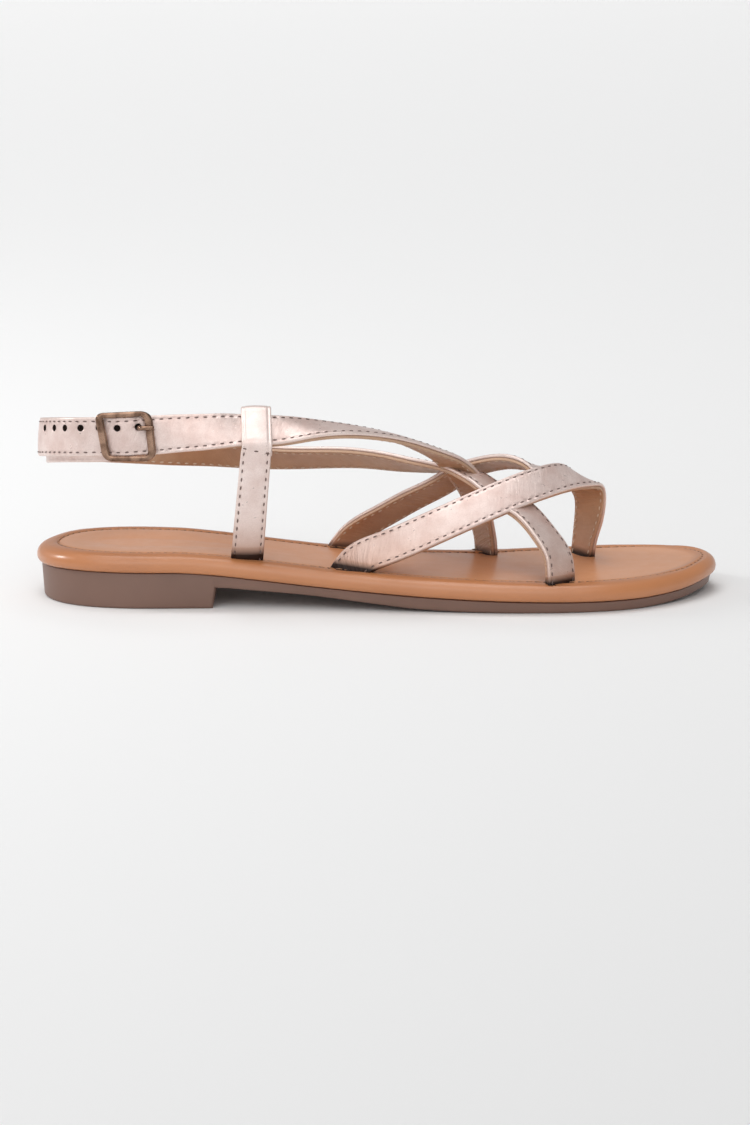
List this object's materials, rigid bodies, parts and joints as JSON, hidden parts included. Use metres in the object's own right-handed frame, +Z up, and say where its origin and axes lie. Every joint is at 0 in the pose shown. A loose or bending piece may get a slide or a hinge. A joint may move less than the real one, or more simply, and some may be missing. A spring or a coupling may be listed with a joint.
{
  "type": "cross strap sandal",
  "caption": "Women's flat sandal for the right foot: leather straps crossing over the foot, a buckled strap round the heel, a wrapped footbed and a low heeled outsole.",
  "frame": {"origin": "on the floor under the middle of the sandal's box", "axes": "+Z up, +X towards the toe, +Y towards the inner (medial) side of this right shoe"},
  "size_m": [0.25, 0.0785, 0.0743],
  "materials": {
    "outsole": "matt taupe brown",
    "footbed": "smooth tan, soft sheen",
    "upper": "metallic rose gold outside, tan lining",
    "loop_lateral": "metallic rose gold",
    "buckle_frame": "polished antique rose gold plating",
    "buckle_prong": "polished antique rose gold plating"
  },
  "bodies": {
    "root": {"outsole": "outsole", "footbed": "footbed", "upper": "upper", "loop_lateral": "loop_lateral", "buckle_frame": "buckle_frame", "buckle_prong": "buckle_prong"}
  },
  "joints": []
}
